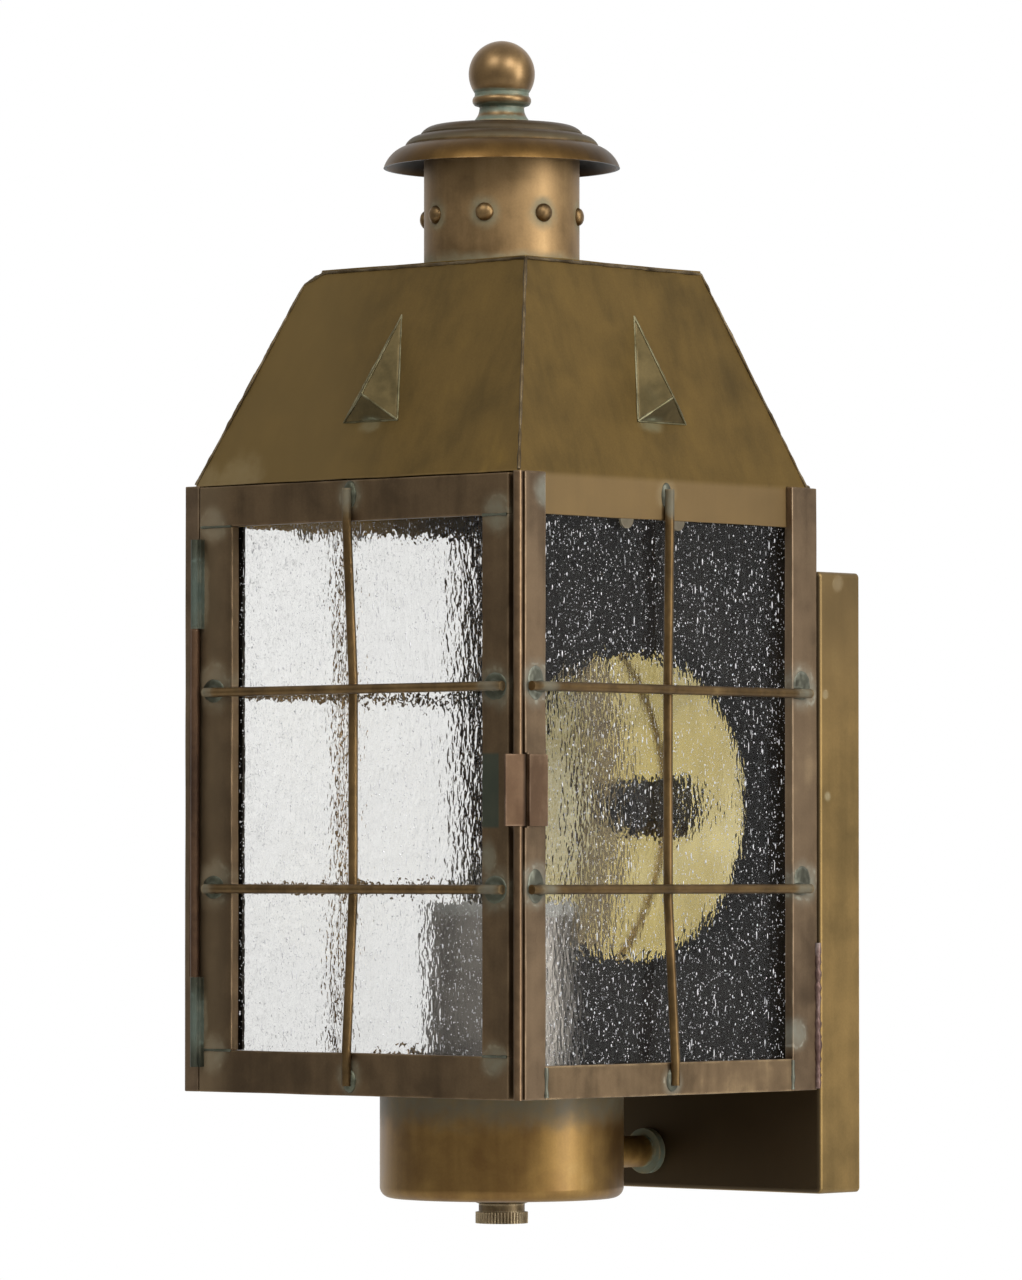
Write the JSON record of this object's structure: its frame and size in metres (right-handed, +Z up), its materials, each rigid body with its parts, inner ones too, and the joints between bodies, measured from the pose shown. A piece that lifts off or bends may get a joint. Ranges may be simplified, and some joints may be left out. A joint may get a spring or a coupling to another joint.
{
  "type": "wall lantern",
  "caption": "Square wall lantern of aged sheet brass with a steep roof and capped chimney, seeded glass panes behind wire guards, a hinged front door, a round reflector and a screw lamp holder.",
  "frame": {"origin": "in the wall plane, at the middle of the wall plate and of the strap's two slots", "axes": "+Z up, +Y into the wall, so that the door faces -Y"},
  "size_m": [0.1458, 0.1647, 0.3701],
  "materials": {
    "aged_brass": "dark patina, mottled, with green spots",
    "golden_brass": "brushed, lightly aged",
    "polished_brass": "polished",
    "copper_toned_brass": "worn, reddish",
    "strap_steel": "plain",
    "seeded_glass": "clear, seeded and wavy",
    "porcelain": "glazed"
  },
  "bodies": {
    "lantern": {"wall_plate": "aged_brass", "mounting_strap": "strap_steel", "strap_screws": "strap_steel", "back_panel": "aged_brass", "floor_plate": "aged_brass", "right_front_stile": "aged_brass", "right_rear_stile": "aged_brass", "right_bottom_rail": "aged_brass", "left_front_stile": "aged_brass", "left_rear_stile": "aged_brass", "left_bottom_rail": "aged_brass", "corner_rod": "copper_toned_brass", "latch_plate": "copper_toned_brass", "roof_front_panel": "aged_brass", "roof_right_panel": "aged_brass", "roof_back_panel": "aged_brass", "roof_left_panel": "aged_brass", "roof_top_plate": "aged_brass", "front_gablet": "aged_brass", "right_gablet": "aged_brass", "left_gablet": "aged_brass", "chimney_tube": "aged_brass", "chimney_rivets": "aged_brass", "chimney_cap": "aged_brass", "finial": "aged_brass", "hinge_barrel": "aged_brass", "hinge_pin": "aged_brass", "right_glass": "seeded_glass", "left_glass": "seeded_glass", "right_glass_clips": "aged_brass", "left_glass_clips": "aged_brass", "right_upper_wire": "aged_brass", "right_lower_wire": "aged_brass", "right_vertical_wire": "aged_brass", "left_upper_wire": "aged_brass", "left_lower_wire": "aged_brass", "left_vertical_wire": "aged_brass", "reflector": "polished_brass", "reflector_nut": "aged_brass", "bottom_cup": "golden_brass", "wire_arm": "golden_brass", "cup_washer": "aged_brass", "threaded_nipple": "golden_brass", "socket_cup": "aged_brass", "lamp_socket": "porcelain", "screw_shell": "golden_brass", "centre_contact": "golden_brass"},
    "door": {"door_hinge_stile": "aged_brass", "door_latch_stile": "aged_brass", "door_top_rail": "aged_brass", "door_bottom_rail": "aged_brass", "door_glass": "seeded_glass", "door_glass_clips": "aged_brass", "door_upper_wire": "aged_brass", "door_lower_wire": "aged_brass", "door_vertical_wire": "aged_brass", "upper_hinge_knuckle": "aged_brass", "lower_hinge_knuckle": "aged_brass"},
    "latch": {"latch_leaf": "copper_toned_brass"},
    "knob": {"knurled_nut": "aged_brass"}
  },
  "joints": [
    {"name": "door_hinge", "type": "hinge", "parent": "lantern", "child": "door", "pos_m": [-0.0639, -0.1612, 0], "axis": [0, 0, -1], "range_deg": [0, 110]},
    {"name": "latch_pivot", "type": "hinge", "parent": "lantern", "child": "latch", "pos_m": [0.0685, -0.1584, 0.0277], "axis": [0, 0, 1], "range_deg": [-74, 100]},
    {"name": "nut_turn", "type": "hinge", "parent": "lantern", "child": "knob", "pos_m": [0, -0.0895, -0.1], "axis": [0, 0, 1], "continuous": true}
  ]
}
